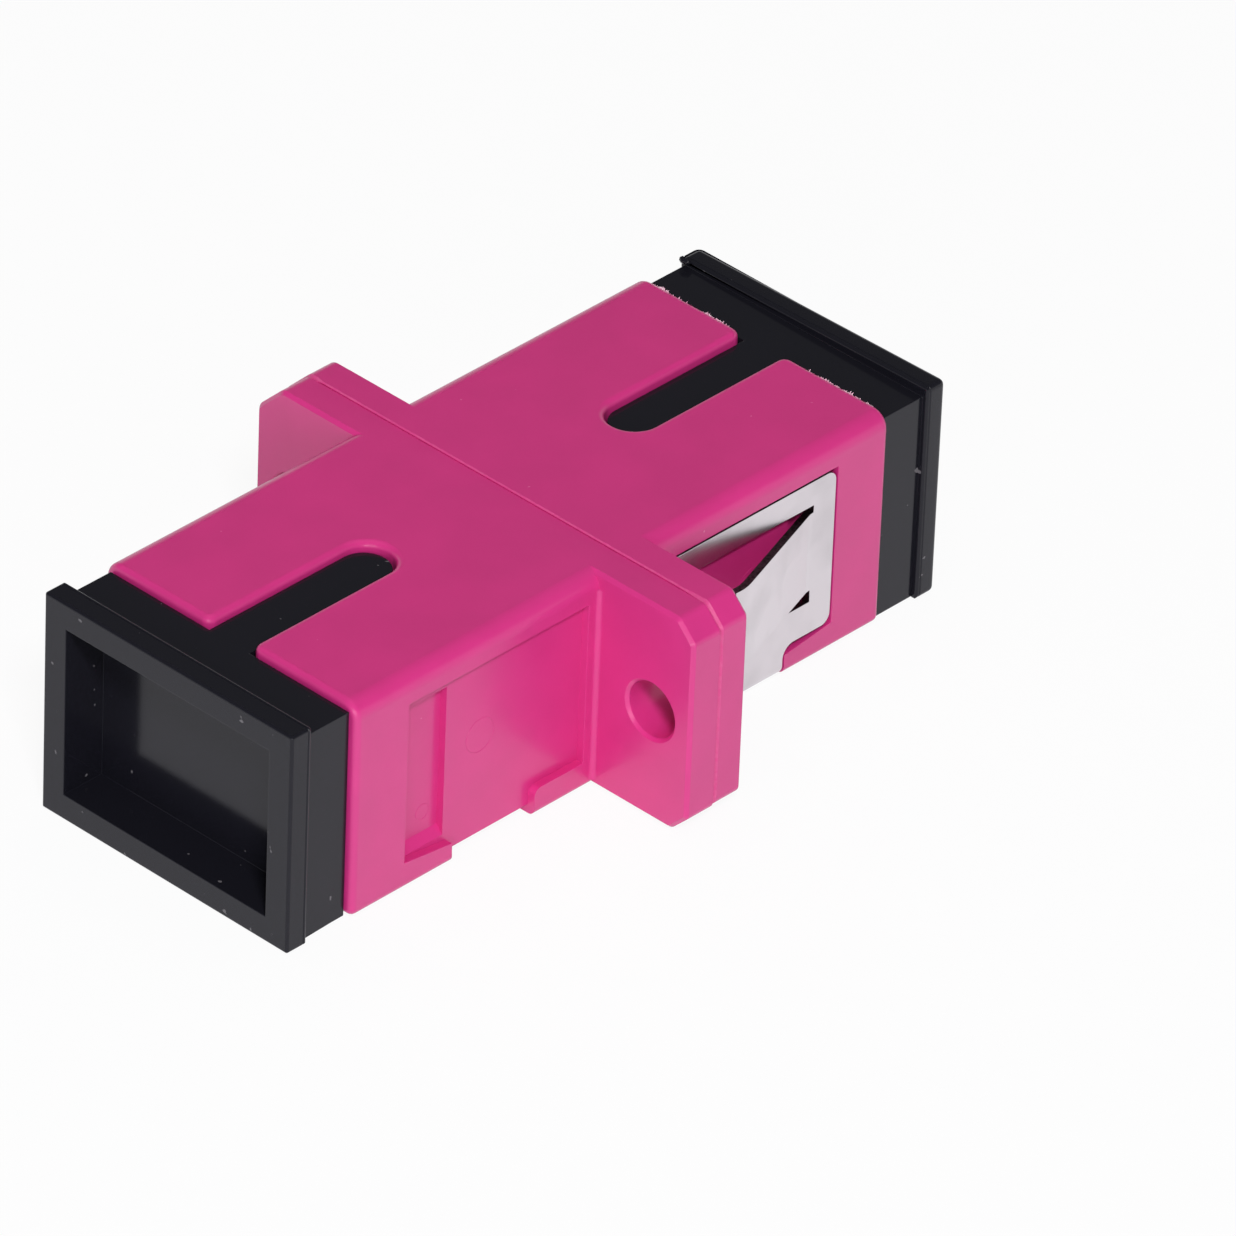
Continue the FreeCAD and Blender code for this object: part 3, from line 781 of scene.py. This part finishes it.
def floor_material():
    """Seamless white paper. It stays white to the camera and in reflections, and keeps the shadow."""
    material, tree = new_material("white_paper_sweep")
    fibres = grain(tree, 0.6, 3.0)
    tone = ramp(tree, fibres.outputs["Fac"], [(0.3, colour("#F3F5FA")), (0.7, colour("#F7F9FD"))])
    paper = add(tree, "BsdfDiffuse", {"Color": tone})
    rays, share = background_share(tree, FLOOR_SEEN, FLOOR_MIRRORED)
    # plain white to the camera, a cooler white in the reflections
    hue = add(tree, "MixRGB", {
        "Fac": rays.outputs["Is Camera Ray"], "Color1": (0.97, 0.96, 1.0, 1), "Color2": (1, 1, 1, 1)})
    glow = add(tree, "Emission", {"Color": hue.outputs["Color"], "Strength": 1.0})
    mix = add(tree, "MixShader", {0: share, 1: paper.outputs[0], 2: glow.outputs[0]})
    finish_material(tree, mix)
    return material


def studio_world():
    """White to the camera, a white sweep with a dim ceiling in reflections, and dim, even light."""
    world = bpy.data.worlds.new("studio")
    world.use_nodes = True
    tree = world.node_tree
    tree.nodes.clear()
    # the sweep stands up to where the studio's dark ceiling begins
    direction = add(tree, "SeparateXYZ", {"Vector": add(tree, "TexCoord").outputs["Generated"]})
    sweep = add(tree, "MapRange", {
        "Value": direction.outputs["Z"], "From Min": SWEEP_FADE[0], "From Max": SWEEP_FADE[1],
        "To Min": 1.0, "To Max": 0.0})
    _, share = background_share(tree, 1.0, sweep.outputs["Result"])
    dim = add(tree, "Background", {"Color": (0.95, 0.97, 1.0, 1), "Strength": CEILING})
    white = add(tree, "Background", {"Color": (1, 1, 1, 1), "Strength": 1.0})
    mix = add(tree, "MixShader", {0: share, 1: dim.outputs[0], 2: white.outputs[0]})
    add(tree, "OutputWorld", {"Surface": mix.outputs[0]})
    return world


class ADAPTER_OT_stage(bpy.types.Operator):
    """Set the floor, the lights, the world and the camera"""
    bl_idname = "adapter.stage"
    bl_label = "Stage"

    def execute(self, context):
        settings = context.scene.adapter_stage
        scene = context.scene
        scene.view_settings.view_transform = "Standard"
        ground = CAD_BOUNDS[0][2]

        surface = bmesh.new()
        bmesh.ops.create_grid(surface, x_segments=1, y_segments=1, size=2.0)
        bmesh.ops.translate(surface, verts=surface.verts, vec=(0, 0, ground))
        mesh = bpy.data.meshes.new("floor")
        surface.to_mesh(mesh)
        surface.free()
        floor = bpy.data.objects.new("floor", mesh)
        mesh.materials.append(floor_material())
        scene.collection.objects.link(floor)

        scene.world = studio_world()
        for name, place, size, power, tint, mirrored in LAMPS:
            area_light(name, place, size, power * settings.level, tint, mirrored)

        azimuth, elevation, roll = (math.radians(angle) for angle in CAMERA_ANGLES)
        back = Vector((math.sin(azimuth) * math.cos(elevation),
                       -math.cos(azimuth) * math.cos(elevation), math.sin(elevation)))
        level_right = Vector((math.cos(azimuth), math.sin(azimuth), 0))
        level_up = back.cross(level_right)
        right = math.cos(roll) * level_right + math.sin(roll) * level_up
        up = -math.sin(roll) * level_right + math.cos(roll) * level_up
        place = back * CAMERA_DISTANCE + right * CAMERA_ACROSS + up * CAMERA_UP
        data = bpy.data.cameras.new("camera")
        data.sensor_width = 36
        data.lens = settings.lens
        data.clip_start = 0.01
        data.clip_end = 10
        camera = bpy.data.objects.new("camera", data)
        turn = Matrix((right, up, back)).transposed().to_4x4()
        camera.matrix_world = Matrix.Translation(place) @ turn
        scene.collection.objects.link(camera)
        scene.camera = camera
        return {"FINISHED"}


# --- Panel and registration ----------------------------------------------------------------

GROUPS = (
    ("adapter_housing", HousingSettings), ("adapter_clip", ClipSettings),
    ("adapter_caps", CapSettings), ("adapter_stage", StageSettings),
)
OPERATORS = (
    ADAPTER_OT_housing, ADAPTER_OT_flash, ADAPTER_OT_marks, ADAPTER_OT_clip, ADAPTER_OT_caps,
    ADAPTER_OT_inner, ADAPTER_OT_stage,
)


class ADAPTER_PT_panel(bpy.types.Panel):
    """Lists the adapter's settings and pieces"""
    bl_idname = "ADAPTER_PT_panel"
    bl_label = "Fibre Adapter"
    bl_space_type = "VIEW_3D"
    bl_region_type = "UI"
    bl_category = "Fibre Adapter"

    def draw(self, context):
        for name, group in GROUPS:
            for prop in group.__annotations__:
                self.layout.prop(getattr(context.scene, name), prop)
        for operator in OPERATORS:
            self.layout.operator(operator.bl_idname)


def register():
    for name, group in GROUPS:
        bpy.utils.register_class(group)
        setattr(bpy.types.Scene, name, PointerProperty(type=group))
    for operator in OPERATORS:
        bpy.utils.register_class(operator)
    bpy.utils.register_class(ADAPTER_PT_panel)


def unregister():
    bpy.utils.unregister_class(ADAPTER_PT_panel)
    for operator in reversed(OPERATORS):
        bpy.utils.unregister_class(operator)
    for name, group in reversed(GROUPS):
        delattr(bpy.types.Scene, name)
        bpy.utils.unregister_class(group)


def main():
    register()
    bpy.ops.adapter.housing()
    bpy.ops.adapter.flash()
    bpy.ops.adapter.marks()
    bpy.ops.adapter.clip()
    bpy.ops.adapter.caps()
    bpy.ops.adapter.inner()
    bpy.ops.adapter.stage()


if __name__ == "__main__":
    main()
